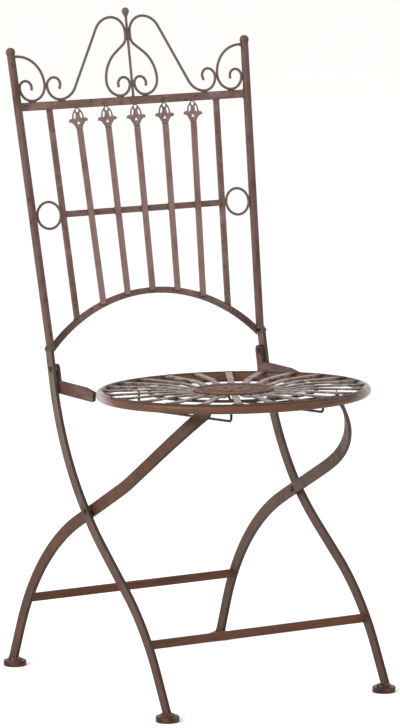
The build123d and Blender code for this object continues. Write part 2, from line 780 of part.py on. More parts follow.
with BuildPart() as crest_scroll:
    with BuildLine(scrolls) as crest_line:
        follow(
            (crest_foot_x, wire_rest), 0,
            [(curl_low, 90), (curl_high, 90), (curl_tip, curl_end_turn)])
        follow(
            (crest_foot_x, wire_rest), 180,
            [(crest_foot_bend, -crest_turn), crest_run, (crest_shoulder, crest_turn), (crest_over, 90),
             heart_straight, (heart_neck, heart_turn), heart_run, (heart_side, -heart_turn),
             (heart_low, -90), (heart_out, -90), (heart_curl, -90), (heart_curl, -heart_end_turn)])
    crest_path = crest_line.wire()
    with BuildSketch(Plane(crest_path @ 0, z_dir=crest_path % 0)):
        Circle(scroll_wire)
    sweep(path=crest_path)
keep_pair(crest_scroll, "crest_scroll")

# Rod in the middle of the crest and the drop that tops it
finial_low = crest_height + finial_above_crest - finial_neck
with BuildPart() as crest_rod:
    with BuildSketch(Plane(scrolls.from_local_coords((0, top_rail_high + weld_gap, 0)), z_dir=back.y_dir)):
        Circle(crest_rod_radius)
    extrude(amount=finial_low - top_rail_high - 2 * weld_gap)
keep(crest_rod, "crest_rod")

finial_plane = Plane(scrolls.from_local_coords((0, finial_low, 0)), z_dir=back.y_dir)
with BuildPart(finial_plane) as crest_finial:
    Cone(
        crest_rod_radius, finial_radius * 0.9, finial_neck - finial_radius * 0.436,
        align=(Align.CENTER, Align.CENTER, Align.MIN))
    with Locations((0, 0, finial_neck)):
        Sphere(finial_radius)
keep(crest_finial, "crest_finial")
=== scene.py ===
import json
import math
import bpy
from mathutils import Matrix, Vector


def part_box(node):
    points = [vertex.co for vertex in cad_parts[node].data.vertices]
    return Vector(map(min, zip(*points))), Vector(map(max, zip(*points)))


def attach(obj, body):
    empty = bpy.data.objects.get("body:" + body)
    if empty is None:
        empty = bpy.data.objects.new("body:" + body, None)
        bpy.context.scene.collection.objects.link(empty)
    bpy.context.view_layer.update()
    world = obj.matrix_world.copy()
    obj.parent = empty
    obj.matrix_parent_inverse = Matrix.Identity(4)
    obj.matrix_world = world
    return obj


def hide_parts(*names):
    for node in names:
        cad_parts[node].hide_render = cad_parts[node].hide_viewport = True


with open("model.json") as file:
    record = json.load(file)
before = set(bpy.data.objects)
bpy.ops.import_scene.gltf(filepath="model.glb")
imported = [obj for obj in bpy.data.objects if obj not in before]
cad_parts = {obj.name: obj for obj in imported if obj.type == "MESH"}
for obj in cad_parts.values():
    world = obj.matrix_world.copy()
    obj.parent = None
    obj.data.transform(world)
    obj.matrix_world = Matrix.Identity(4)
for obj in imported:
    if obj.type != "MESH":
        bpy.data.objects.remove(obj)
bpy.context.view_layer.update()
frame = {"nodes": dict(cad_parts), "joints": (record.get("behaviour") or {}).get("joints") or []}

from fnmatch import fnmatchcase

import bmesh
import bpy
import numpy
from mathutils import Vector
from mathutils.bvhtree import BVHTree

bl_info = {
    "name": "Folding Garden Chair",
    "version": (1, 0, 0),
    "blender": (4, 5, 0),
    "location": "View3D > Sidebar > Garden Chair",
    "description": "Antiqued iron finishes, weld beads and a pressed medallion for a folding garden chair",
    "category": "Object",
}

MM = 0.001

# The seat lies along the slide of its rod, and its pressed plate gives the middle
SLIDE = Vector(next(joint["axis"] for joint in frame["joints"] if joint["name"] == "rod_slide")).normalized()
SEAT_TILT = math.atan2(-SLIDE.z, SLIDE.y)
SEAT_UP = Vector((0, math.sin(SEAT_TILT), math.cos(SEAT_TILT)))


def medallion_frame():
    """Middle of the plate's underside, its radius and its height, read from the CAD plate."""
    same_level = 0.05 * MM
    points = [v.co.copy() for v in frame["nodes"]["seat_medallion"].data.vertices]
    heights = [point.dot(SEAT_UP) for point in points]
    low, high = min(heights), max(heights)
    rim = [point for point, height in zip(points, heights) if height - low < same_level]
    middle = Vector([(min(p[i] for p in rim) + max(p[i] for p in rim)) / 2 for i in range(3)])
    radius = max(abs(point.x) for point in points)
    return middle, radius, high - low


PLATE_MIDDLE, PLATE_RADIUS, PLATE_HEIGHT = medallion_frame()

# Heights above the floor between which the painted shade browning the lower legs fades out
FLOOR_SHADE_LOW, FLOOR_SHADE_HIGH = 40 * MM, 430 * MM
# Distances from the chair's middle plane between which the arch turns black, and how far that wavers
ENDS_DARK_START, ENDS_DARK_FULL, ENDS_DARK_WAVER = 146 * MM, 172 * MM, 40 * MM
# Line across the seat to the two places of the painted highlight on the rim, and where along it the rim turns
# pale
HIGHLIGHT_ACROSS = (0.86, -0.51, 0)
HIGHLIGHT_START, HIGHLIGHT_END, HIGHLIGHT_WAVER = 190 * MM, 214 * MM, 30 * MM
# Distances from the seat's middle between which the strips turn darker
RIM_DARK_START, RIM_DARK_FULL, RIM_DARK_WAVER = 180 * MM, 193 * MM, 16 * MM
# Sizes in millimetres of a rubbed spot and of paint grit, and the size of a scuff against a patch
RUBBED_SPOT = 14
PAINT_GRIT = 1.6
SCUFF_SHARE = 0.28


def linear(hex_colour):
    """Turns an sRGB hex value into the linear colour that the shader sockets expect."""
    channels = [int(hex_colour[i:i + 2], 16) / 255 for i in (1, 3, 5)]
    return [c / 12.92 if c <= 0.04045 else ((c + 0.055) / 1.055) ** 2.4 for c in channels]


def add(tree, kind, inputs=None, **settings):
    """Adds one node, sets its properties, and fills or links its sockets."""
    node = tree.nodes.new(kind)
    for name, value in settings.items():
        setattr(node, name, value)
    for name, value in (inputs or {}).items():
        if isinstance(value, bpy.types.NodeSocket):
            tree.links.new(value, node.inputs[name])
        else:
            node.inputs[name].default_value = value
    return node


def per_metre(millimetres):
    """Noise scale that gives features of about that size on Object coordinates."""
    return 1.0 / (millimetres * MM)


def colour_property(name, description, hex_colour):
    """A colour setting whose default is given as an sRGB hex value."""
    return bpy.props.FloatVectorProperty(
        name=name, description=description, subtype="COLOR", size=3, min=0, max=1, default=linear(hex_colour))


class ChairFinish(bpy.types.PropertyGroup):
    """Colours and wear of the antiqued paint."""

    mauve: colour_property("Mauve Coat", "Mauve brown of the slats", "#745c57")
    strip: colour_property("Strip Coat", "Light mauve of the seat's strips", "#8a766e")
    grey: colour_property("Grey Coat", "Grey brown of the flat leg bars", "#58473f")
    tube: colour_property("Tube Coat", "Dark mauve brown of the uprights", "#553f3a")
    brown: colour_property("Brown Coat", "Brown of the back's bars", "#5d463f")
    wire: colour_property("Wire Coat", "Dark grey brown of scrolls and rings", "#574a48")
    rim: colour_property("Rim Glaze", "Orange brown of the seat rim", "#583723")
    rust: colour_property("Rust Glaze", "Red brown glaze on rails and feet", "#543020")
    # umber also gives the painted shade that browns the legs towards the floor and darkens the left rear bar
    umber: colour_property("Umber Glaze", "Dark brown of lower legs, seat arms and hoop", "#41281b")
    # dark also gives the painted shade on faces turned from the lights and between the seat strips
    dark: colour_property("Dark Undercoat", "Dark iron seen on edges, in scuffs and near welds", "#1a1211")
    # pale also serves as the painted highlight at two opposite places of the rim
    pale: colour_property("Rubbed Spots", "Pale grey where the seat paint is rubbed", "#a8a0a2")
    verdigris: colour_property("Relief Wash", "Grey green wash on the pressed relief", "#777163")
    edge_wear: bpy.props.FloatProperty(
        name="Edge Width", description="Width of the dark rubbed line along sharp edges",
        unit="LENGTH", min=0.0002, max=0.01, default=1.4 * MM)


def antiqued_paint(name, coat, glaze, glazed=0.5, patch=22, streak=(1, 1, 1), scuffed=0.5, rubbed=0.0,
                   narrow=0.0, ledges=0.0, flanks=0.0, grounded=0.0, dark_ends=0.0, rim_highlight=0.0, rim_ends=0.0,
                   relief=0.0, edged=1.3, rough=0.5):
    """Brushed antique enamel on wrought iron: a satin coat with a second colour wiped on in soft
    patches, dark iron showing along edges and in scuffs, and pale spots where it is rubbed.

    glazed, scuffed and rubbed are the shares of second colour, dark scuffs and pale spots.
    patch is the size of a wiped patch in millimetres and streak its pull along each axis.
    narrow darkens the faces turned away from the sides, ledges those that look up or down and
    flanks those that stand upright, partly as painted shade and partly as dark antiquing.
    grounded is painted shade that browns a piece towards the floor, dark_ends blackens a bar towards
    its two ends, rim_highlight is a painted highlight that pales the rim at two opposite places.
    rim_ends darkens the seat's strips where they reach the rim, relief washes raised ornament and
    edged is how much of the dark iron shows along sharp edges."""
    finish = bpy.context.scene.chair_finish
    dark = (*finish.dark, 1)
    material = bpy.data.materials.new(name)
    material.use_nodes = True
    tree = material.node_tree
    tree.nodes.clear()
    place = add(tree, "ShaderNodeTexCoord").outputs["Object"]
    drawn = add(tree, "ShaderNodeMapping", {"Vector": place, "Scale": streak}).outputs["Vector"]
    face = add(tree, "ShaderNodeNewGeometry").outputs["Normal"]

    # Soft patches where the second colour was wiped on
    wipe = add(tree, "ShaderNodeTexNoise", {
        "Vector": drawn, "Scale": per_metre(patch), "Detail": 4.0, "Roughness": 0.6}).outputs["Fac"]
    share = add(tree, "ShaderNodeMapRange", {
        "Value": wipe, "From Min": 0.62 - 0.3 * glazed, "From Max": 0.82 - 0.3 * glazed}).outputs["Result"]
    colour = add(tree, "ShaderNodeMix", {
        0: share, 6: (*coat, 1), 7: (*glaze, 1)}, data_type="RGBA").outputs[2]

    # Painted shade, browner towards the floor, and black towards the two ends of a bar
    axes = add(tree, "ShaderNodeSeparateXYZ", {0: place}).outputs
    if grounded:
        floor_shade = add(tree, "ShaderNodeMapRange", {
            "Value": axes["Z"], "From Min": FLOOR_SHADE_LOW, "From Max": FLOOR_SHADE_HIGH,
            "To Min": grounded, "To Max": 0.0}).outputs["Result"]
        colour = add(tree, "ShaderNodeMix", {
            0: floor_shade, 6: colour, 7: (*finish.umber, 1)}, data_type="RGBA").outputs[2]
    if dark_ends:
        side = add(tree, "ShaderNodeMath", {0: axes["X"]}, operation="ABSOLUTE").outputs[0]
        uneven = add(tree, "ShaderNodeMath", {
            0: wipe, 1: ENDS_DARK_WAVER, 2: side}, operation="MULTIPLY_ADD").outputs[0]
        toward_ends = add(tree, "ShaderNodeMapRange", {
            "Value": uneven, "From Min": ENDS_DARK_START, "From Max": ENDS_DARK_FULL,
            "To Max": dark_ends}).outputs["Result"]
        colour = add(tree, "ShaderNodeMix", {0: toward_ends, 6: colour, 7: dark}, data_type="RGBA").outputs[2]

    # Faces darkened by which way they are turned, partly painted shade on faces that the lights reach less
    # and partly dark antiquing: how much, the axis that the face is measured along, and how far it leans to
    # that axis where the dark sets in and is full
    darkened_by_facing = ((narrow, "X", 0.66, 0.5), (ledges, "Z", 0.55, 0.8), (flanks, "Z", 0.8, 0.5))
    for amount, axis, start, full in darkened_by_facing:
        if amount:
            turned = add(tree, "ShaderNodeSeparateXYZ", {0: face}).outputs[axis]
            level = add(tree, "ShaderNodeMath", {0: turned}, operation="ABSOLUTE").outputs[0]
            shaded = add(tree, "ShaderNodeMapRange", {
                "Value": level, "From Min": start, "From Max": full, "To Max": amount}).outputs["Result"]
            colour = add(tree, "ShaderNodeMix", {0: shaded, 6: colour, 7: dark}, data_type="RGBA").outputs[2]

    # Place in the seat's own axes, from the middle of the pressed plate's underside
    if rim_highlight or rim_ends or relief:
        seat_place = add(tree, "ShaderNodeMapping", {
            "Vector": place, "Location": PLATE_MIDDLE, "Rotation": (-SEAT_TILT, 0, 0)},
            vector_type="TEXTURE").outputs["Vector"]
        seat_axes = add(tree, "ShaderNodeSeparateXYZ", {0: seat_place}).outputs

    # Painted highlight: paler at two opposite places of the rim
    if rim_highlight:
        across = add(tree, "ShaderNodeVectorMath", {
            0: seat_place, 1: HIGHLIGHT_ACROSS}, operation="DOT_PRODUCT").outputs["Value"]
        side = add(tree, "ShaderNodeMath", {0: across}, operation="ABSOLUTE").outputs[0]
        uneven = add(tree, "ShaderNodeMath", {
            0: wipe, 1: HIGHLIGHT_WAVER, 2: side}, operation="MULTIPLY_ADD").outputs[0]
        highlit = add(tree, "ShaderNodeMapRange", {
            "Value": uneven, "From Min": HIGHLIGHT_START, "From Max": HIGHLIGHT_END,
            "To Max": rim_highlight}).outputs["Result"]
        colour = add(tree, "ShaderNodeMix", {
            0: highlit, 6: colour, 7: (*finish.pale, 1)}, data_type="RGBA").outputs[2]

    # Pale spots where the paint is rubbed
    if rubbed:
        rub = add(tree, "ShaderNodeTexNoise", {
            "Vector": place, "Scale": per_metre(RUBBED_SPOT), "Detail": 5.0, "Roughness": 0.65,
            "Distortion": 0.4}).outputs["Fac"]
        worn = add(tree, "ShaderNodeMapRange", {
            "Value": rub, "From Min": 0.47, "From Max": 0.66, "To Max": rubbed}).outputs["Result"]
        colour = add(tree, "ShaderNodeMix", {
            0: worn, 6: colour, 7: (*finish.pale, 1)}, data_type="RGBA").outputs[2]

    # Scuffs down to the dark iron, about a quarter as large as a patch
    scuff = add(tree, "ShaderNodeTexNoise", {
        "Vector": drawn, "Scale": per_metre(patch * SCUFF_SHARE), "Detail": 5.0,
        "Roughness": 0.7}).outputs["Fac"]
    bare = add(tree, "ShaderNodeMapRange", {
        "Value": scuff, "From Min": 0.55, "From Max": 0.7, "To Max": scuffed}).outputs["Result"]
    colour = add(tree, "ShaderNodeMix", {0: bare, 6: colour, 7: dark}, data_type="RGBA").outputs[2]

    # Strips darker near the rim, and a wash on the plate's raised ornament
    if rim_ends:
        flat = add(tree, "ShaderNodeCombineXYZ", {"X": seat_axes["X"], "Y": seat_axes["Y"]}).outputs[0]
        out = add(tree, "ShaderNodeVectorMath", {0: flat}, operation="LENGTH").outputs["Value"]
        wavy = add(tree, "ShaderNodeMath", {
            0: scuff, 1: RIM_DARK_WAVER, 2: out}, operation="MULTIPLY_ADD").outputs[0]
        near_rim = add(tree, "ShaderNodeMapRange", {
            "Value": wavy, "From Min": RIM_DARK_START, "From Max": RIM_DARK_FULL,
            "To Max": rim_ends}).outputs["Result"]
        colour = add(tree, "ShaderNodeMix", {0: near_rim, 6: colour, 7: dark}, data_type="RGBA").outputs[2]
    if relief:
        raised = add(tree, "ShaderNodeMapRange", {
            "Value": seat_axes["Z"], "From Min": PLATE_HEIGHT * 0.6, "From Max": PLATE_HEIGHT * 0.85,
            "To Max": relief}).outputs["Result"]
        patchy = add(tree, "ShaderNodeMath", {0: raised, 1: wipe}, operation="MULTIPLY").outputs[0]
        colour = add(tree, "ShaderNodeMix", {
            0: patchy, 6: colour, 7: (*finish.verdigris, 1)}, data_type="RGBA").outputs[2]

    # Sharp edges: where a rounded normal leaves the true one, the coat is rubbed to dark iron
    rounded = add(tree, "ShaderNodeBevel", {"Radius": finish.edge_wear}, samples=4).outputs["Normal"]
    agree = add(tree, "ShaderNodeVectorMath", {0: rounded, 1: face}, operation="DOT_PRODUCT").outputs["Value"]
    edge = add(tree, "ShaderNodeMapRange", {
        "Value": agree, "From Min": 0.985, "From Max": 0.86, "To Max": edged}).outputs["Result"]
    broken = add(tree, "ShaderNodeMath", {0: edge, 1: scuff}, operation="MULTIPLY", use_clamp=True).outputs[0]
    colour = add(tree, "ShaderNodeMix", {0: broken, 6: colour, 7: dark}, data_type="RGBA").outputs[2]

    # Satin where smooth, duller in scuffs, with brush marks and paint grit, coarse enough to show
    gloss = add(tree, "ShaderNodeMapRange", {
        "Value": scuff, "To Min": rough - 0.12, "To Max": rough + 0.2}).outputs["Result"]
    grit = add(tree, "ShaderNodeTexNoise", {
        "Vector": place, "Scale": per_metre(PAINT_GRIT), "Detail": 2.0}).outputs["Fac"]
    height = add(tree, "ShaderNodeMath", {0: grit, 1: wipe}, operation="ADD").outputs[0]
    bump = add(tree, "ShaderNodeBump", {
        "Height": height, "Strength": 0.35, "Distance": 0.25 * MM, "Normal": rounded}).outputs["Normal"]
    shader = add(tree, "ShaderNodeBsdfPrincipled", {
        "Base Color": colour, "Roughness": gloss, "Normal": bump, "IOR": 1.5, "Specular IOR Level": 0.22})
    add(tree, "ShaderNodeOutputMaterial", {"Surface": shader.outputs["BSDF"]})
    return material


def finish_named(name):
    """The finish of that name, made on its first use."""
    if name in bpy.data.materials:
        return bpy.data.materials[name]
    tint = bpy.context.scene.chair_finish
    recipes = {
        # Flat bars: grey brown faces with narrow edges darkened, partly painted shade and partly antiquing,
        # and browner towards the floor as painted shade
        "leg_bar_enamel": dict(
            coat=tint.grey, glaze=tint.umber, glazed=0.4, patch=26, streak=(1, 0.6, 0.5), scuffed=0.3,
            narrow=0.55, grounded=0.95),
        # Left rear bar and seat hoop: dark brown with red brown wiped on; on the left rear bar it is painted
        # shade, darker than its right twin's grey
        "umber_glaze_and_shade_bar": dict(
            coat=tint.umber, glaze=tint.rust, glazed=0.4, patch=30, streak=(1, 0.6, 0.6), scuffed=0.35,
            narrow=0.45),
        # Seat arms: dark brown with the uprights' colour brushed along them
        "arm_glaze": dict(
            coat=tint.umber, glaze=tint.tube, glazed=0.8, patch=12, streak=(1, 0.2, 1), scuffed=0.6,
            narrow=0.6),
        # Uprights: dark mauve brown with dark scuffs drawn out along them
        "back_tube_enamel": dict(
            coat=tint.tube, glaze=tint.umber, glazed=0.4, patch=18, streak=(1, 1, 0.3), scuffed=0.8),
        # Rails and inner bars: brown and much scuffed, dark on the faces that look up or down
        "back_bar_enamel": dict(
            coat=tint.brown, glaze=tint.mauve, glazed=0.35, patch=20, streak=(0.5, 1, 0.7), scuffed=1.0,
            ledges=0.7),
        # Arch: the same brown, blackened towards its two ends
        "arch_enamel": dict(
            coat=tint.brown, glaze=tint.mauve, glazed=0.4, patch=20, streak=(0.5, 1, 0.5), scuffed=0.8,
            ledges=0.5, dark_ends=0.55),
        # Slats and their heads: the lightest coat of the back, wiped with brown
        "slat_enamel": dict(
            coat=tint.mauve, glaze=tint.brown, glazed=0.4, patch=20, streak=(1, 1, 0.4), scuffed=0.35),
        # Bent wire: dark and even, with a little brown
        "scroll_wire_enamel": dict(
            coat=tint.wire, glaze=tint.brown, glazed=0.4, patch=18, scuffed=0.4),
        # Cross rails: red brown, brushed lengthwise
        "cross_rail_glaze": dict(
            coat=tint.rust, glaze=tint.umber, glazed=0.45, patch=9, streak=(0.1, 1, 1), scuffed=0.8,
            ledges=0.35),
        # Feet: glossier red brown with near-black spots
        "foot_glaze": dict(coat=tint.rust, glaze=tint.dark, glazed=0.75, patch=16, scuffed=1.0, rough=0.34),
        # Seat rim: orange brown, dark along its crown, with a painted highlight at two opposite places
        "seat_rim_glaze": dict(
            coat=tint.rim, glaze=tint.umber, glazed=0.35, patch=34, streak=(0.5, 0.5, 1), scuffed=0.35,
            ledges=0.75, rim_highlight=0.75, rough=0.4),
        # Seat strips: pale rubbed spots, dark sides that are painted shade between the strips, and darker
        # ends where they reach the rim
        "seat_strip_enamel": dict(
            coat=tint.strip, glaze=tint.brown, glazed=0.4, patch=18, scuffed=0.7, flanks=0.7, rubbed=0.6,
            rim_ends=0.9),
        # Pressed plate: red brown with a grey green wash on the relief
        "pressed_plate_glaze": dict(
            coat=tint.rust, glaze=tint.brown, glazed=0.5, patch=14, scuffed=0.5, relief=0.9),
        # Rivets, washers, guides and rod: iron rubbed nearly bare
        "rubbed_iron": dict(coat=tint.dark, glaze=tint.wire, glazed=0.5, patch=8, scuffed=0.3, rough=0.42),
        # Weld beads: dull brown paint with dark scale showing in spots
        "weld_scale": dict(
            coat=tint.brown, glaze=tint.umber, glazed=0.5, patch=6, scuffed=0.6, edged=0.2, rough=0.6),
    }
    return antiqued_paint(name, **recipes[name])


def dress(finish, *nodes):
    """Gives CAD nodes their finish; a name with a star stands for both sides or all of a row."""
    for wanted in nodes:
        for name, piece in frame["nodes"].items():
            if fnmatchcase(name, wanted):
                piece.data.materials.clear()
                piece.data.materials.append(finish_named(finish))


class CHAIR_OT_paint_legs(bpy.types.Operator):
    """Paint the leg bars, cross rails, feet and pivots"""

    bl_idname = "chair.paint_legs"
    bl_label = "Paint the Legs"

    def execute(self, context):
        dress("leg_bar_enamel", "*_front_leg", "right_rear_leg")
        # Painted shade: the left rear bar takes a darker finish than its right twin
        dress("umber_glaze_and_shade_bar", "left_rear_leg")
        dress("cross_rail_glaze", "front_stretcher", "rear_stretcher")
        dress("foot_glaze", "*_front_foot", "*_rear_foot")
        dress("rubbed_iron", "*_leg_rivet", "*_leg_washer")
        return {"FINISHED"}


class CHAIR_OT_paint_back(bpy.types.Operator):
    """Paint the uprights, rails, slats and scrolls of the back"""

    bl_idname = "chair.paint_back"
    bl_label = "Paint the Back"

    def execute(self, context):
        dress("back_tube_enamel", "*_upright", "*_upright_cap")
        dress("back_bar_enamel", "top_rail", "mid_rail", "*_inner_bar")
        dress("arch_enamel", "arch")
        dress("slat_enamel", "slat_*")
        dress("scroll_wire_enamel", "*_scroll", "*_ring", "crest_*")
        return {"FINISHED"}


class CHAIR_OT_paint_seat(bpy.types.Operator):
    """Paint the seat rim, strips, arms, guides and rod"""

    bl_idname = "chair.paint_seat"
    bl_label = "Paint the Seat"

    def execute(self, context):
        dress("seat_rim_glaze", "seat_rim")
        dress("seat_strip_enamel", "seat_strips")
        dress("umber_glaze_and_shade_bar", "seat_hoop")
        dress("arm_glaze", "*_seat_arm")
        dress("rubbed_iron", "*_seat_rivet", "*_seat_washer", "*_slide_guide", "slide_rod")
        return {"FINISHED"}


def node_tree(name, sockets):
    """A geometry node tree with the given inputs; returns it with its ends and input identifiers."""
    tree = bpy.data.node_groups.new(name, "GeometryNodeTree")
    tree.interface.new_socket("Geometry", in_out="INPUT", socket_type="NodeSocketGeometry")
    tree.interface.new_socket("Geometry", in_out="OUTPUT", socket_type="NodeSocketGeometry")
    keys = {}
    for label, kind in sockets.items():
        keys[label] = tree.interface.new_socket(label, in_out="INPUT", socket_type=kind).identifier
    start = add(tree, "NodeGroupInput")
    end = add(tree, "NodeGroupOutput")
    return tree, start.outputs, end.inputs["Geometry"], keys


def grown(name, base, tree, keys, values):
    """Runs a geometry node tree on a mesh and returns the result as a plain object at the origin."""
    seedling = bpy.data.objects.new(f"{name}_base", base)
    bpy.context.scene.collection.objects.link(seedling)
    modifier = seedling.modifiers.new("grow", "NODES")
    modifier.node_group = tree
    for label, value in values.items():
        modifier[keys[label]] = value
    bpy.context.view_layer.update()
    evaluated = seedling.evaluated_get(bpy.context.evaluated_depsgraph_get())
    mesh = bpy.data.meshes.new_from_object(evaluated)
    bpy.data.objects.remove(seedling)
    mesh.name = name
    piece = bpy.data.objects.new(name, mesh)
    bpy.context.scene.collection.objects.link(piece)
    if not mesh.polygons:
        raise RuntimeError(f"{name} came out empty")
    return piece


class ChairMedallion(bpy.types.PropertyGroup):
    """Pressed plate in the middle of the seat."""

    petals: bpy.props.IntProperty(
        name="Petals", description="Petals of the pressed rosette", default=10, min=4)
    beads: bpy.props.IntProperty(
        name="Beads", description="Beads round the rosette", default=36, min=8)
    petal_length: bpy.props.FloatProperty(
        name="Petal Length", description="Length of a petal", unit="LENGTH", default=28 * MM)
    petal_width: bpy.props.FloatProperty(
        name="Petal Width", description="Width of a petal", unit="LENGTH", default=13 * MM)
    bead_radius: bpy.props.FloatProperty(
        name="Bead Radius", description="Radius of a pressed bead", unit="LENGTH", default=1.7 * MM)
    rise: bpy.props.FloatProperty(
        name="Relief", description="Height of the petals above the plate", unit="LENGTH", default=1.6 * MM)


def turned_plate(name, profile, steps):
    """Spins a profile of (radius, height) points round Z into a closed plate."""
    bm = bmesh.new()
    spine = [bm.verts.new((radius, 0, height)) for radius, height in profile]
    edges = [bm.edges.new(pair) for pair in zip(spine, spine[1:])]
    bmesh.ops.spin(bm, geom=spine + edges, axis=(0, 0, 1), cent=(0, 0, 0), angle=math.tau, steps=steps)
    bmesh.ops.remove_doubles(bm, verts=bm.verts, dist=0.01 * MM)
    bmesh.ops.dissolve_degenerate(bm, edges=bm.edges, dist=0.01 * MM)
    bmesh.ops.recalc_face_normals(bm, faces=bm.faces)
    mesh = bpy.data.meshes.new(name)
    bm.to_mesh(mesh)
    bm.free()
    return mesh


def petal_mesh(length, width, rise):
    """A leaf-shaped blister with a shallow vein, pointing outwards along X and closed underneath."""
    along, across = 8, 4
    vein_depth, vein_width = 0.35, 0.25
    bm = bmesh.new()
    rows = []
    for i in range(along + 1):
        run = i / along
        half = width / 2 * math.sin(math.pi * run ** 0.8) ** 0.8 if 0 < i < along else 0
        row = []
        for j in range(-across, across + 1):
            side = j / across
            vein = 1 - vein_depth * math.exp(-(side / vein_width) ** 2)
            swell = (1 - side * side) * vein * min(half / (width / 2) * 1.3, 1)
            row.append(bm.verts.new((run * length, half * side, rise * swell)))
        rows.append(row)
    for lower, upper in zip(rows, rows[1:]):
        for j in range(2 * across):
            bm.faces.new((lower[j], upper[j], upper[j + 1], lower[j + 1]))
    outline = [row[0] for row in rows] + [row[-1] for row in reversed(rows[1:-1])]
    bm.faces.new(outline)
    bmesh.ops.remove_doubles(bm, verts=bm.verts, dist=0.02 * MM)
    bmesh.ops.dissolve_degenerate(bm, edges=bm.edges, dist=0.02 * MM)
    bmesh.ops.recalc_face_normals(bm, faces=bm.faces)
    mesh = bpy.data.meshes.new("rosette_petal")
    bm.to_mesh(mesh)
    bm.free()
    return mesh


def rosette_tree():
    """Petals and beads set round the plate, laid in the seat's plane and joined into one mesh."""
    tree, given, result, keys = node_tree("pressed_rosette", {
        "Petal": "NodeSocketObject", "Petals": "NodeSocketInt", "Petal Ring": "NodeSocketFloat",
        "Beads": "NodeSocketInt", "Bead Ring": "NodeSocketFloat", "Bead Radius": "NodeSocketFloat",
        "Plate Top": "NodeSocketFloat", "Middle": "NodeSocketVector", "Tilt": "NodeSocketVector",
        "Finish": "NodeSocketMaterial"})
    top = add(tree, "ShaderNodeCombineXYZ", {"Z": given["Plate Top"]}).outputs[0]
    petal = add(tree, "GeometryNodeObjectInfo", {"Object": given["Petal"]}).outputs["Geometry"]
    ball = add(tree, "GeometryNodeMeshUVSphere", {
        "Segments": 8, "Rings": 6, "Radius": given["Bead Radius"]}).outputs["Mesh"]
    rings = [given["Geometry"]]
    for shape, count, ring in (
        (petal, given["Petals"], given["Petal Ring"]), (ball, given["Beads"], given["Bead Ring"]),
    ):
        circle = add(tree, "GeometryNodeMeshCircle", {"Vertices": count, "Radius": ring}).outputs["Mesh"]
        lifted = add(tree, "GeometryNodeSetPosition", {"Geometry": circle, "Offset": top}).outputs["Geometry"]
        number = add(tree, "GeometryNodeInputIndex").outputs[0]
        step = add(tree, "ShaderNodeMath", {0: math.tau, 1: count}, operation="DIVIDE").outputs[0]
        angle = add(tree, "ShaderNodeMath", {0: number, 1: step}, operation="MULTIPLY").outputs[0]
        spin = add(tree, "ShaderNodeCombineXYZ", {"Z": angle}).outputs[0]
        rings.append(add(tree, "GeometryNodeInstanceOnPoints", {
            "Points": lifted, "Instance": shape, "Rotation": spin}).outputs["Instances"])
    joined = add(tree, "GeometryNodeJoinGeometry")
    for ring in rings:
        tree.links.new(ring, joined.inputs["Geometry"])
    laid = add(tree, "GeometryNodeTransform", {
        "Geometry": joined.outputs["Geometry"], "Translation": given["Middle"],
        "Rotation": given["Tilt"]}).outputs["Geometry"]
    real = add(tree, "GeometryNodeRealizeInstances", {"Geometry": laid}).outputs["Geometry"]
    painted = add(tree, "GeometryNodeSetMaterial", {
        "Geometry": real, "Material": given["Finish"]}).outputs["Geometry"]
    tree.links.new(painted, result)
    return tree, keys


class CHAIR_OT_medallion(bpy.types.Operator):
    """Make the pressed medallion with its rolled edge, beads and rosette"""

    bl_idname = "chair.medallion"
    bl_label = "Seat Medallion"

    def execute(self, context):
        size = context.scene.chair_medallion
        floor = PLATE_HEIGHT * 0.5
        lip = PLATE_HEIGHT * 0.86
        edge = PLATE_RADIUS
        chamfer, roll_radius, roll_width, boss_radius = 0.6 * MM, 2.6 * MM, 7.2 * MM, 9.5 * MM
        petal_ring, bead_inset, sunk = 11.5 * MM, 11.5 * MM, 0.05 * MM
        roll = [
            (edge - roll_radius + roll_radius * math.cos(a), lip - roll_radius + roll_radius * math.sin(a))
            for a in map(math.radians, range(0, 181, 20))]
        boss = [
            (boss_radius * math.cos(a), floor + (PLATE_HEIGHT - floor) * math.sin(a))
            for a in map(math.radians, range(0, 91, 15))]
        profile = [(0, 0), (edge - chamfer, 0), (edge, chamfer), *roll, (edge - roll_width, floor), *boss]
        plate = turned_plate("pressed_plate", profile, steps=96)
        leaf = petal_mesh(size.petal_length, size.petal_width, size.rise)
        petal = bpy.data.objects.new("rosette_petal", leaf)
        context.scene.collection.objects.link(petal)
        tree, keys = rosette_tree()
        medallion = grown("seat_medallion_pressed", plate, tree, keys, {
            "Petal": petal, "Petals": size.petals, "Petal Ring": petal_ring, "Beads": size.beads,
            "Bead Ring": edge - bead_inset, "Bead Radius": size.bead_radius, "Plate Top": floor - sunk,
            "Middle": PLATE_MIDDLE, "Tilt": (-SEAT_TILT, 0, 0),
            "Finish": finish_named("pressed_plate_glaze")})
        bpy.data.objects.remove(petal)
        medallion.data.shade_smooth()
        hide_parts("seat_medallion")
        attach(medallion, "seat")
        return {"FINISHED"}


class ChairWelds(bpy.types.PropertyGroup):
    """Beads of weld where pieces of one body meet."""

    bead: bpy.props.FloatProperty(
        name="Bead Radius", description="Radius of one drop of weld", unit="LENGTH", default=1.25 * MM)
    spacing: bpy.props.FloatProperty(
        name="Spacing", description="Distance from drop to drop", unit="LENGTH", default=1.7 * MM)
    reach: bpy.props.FloatProperty(
        name="Reach", description="Widest gap that a weld closes", unit="LENGTH", default=0.45 * MM)
    heavy: bpy.props.FloatProperty(
        name="Heavy Weld", description="Size of the drops in a heavy weld, against a plain one", default=1.35)


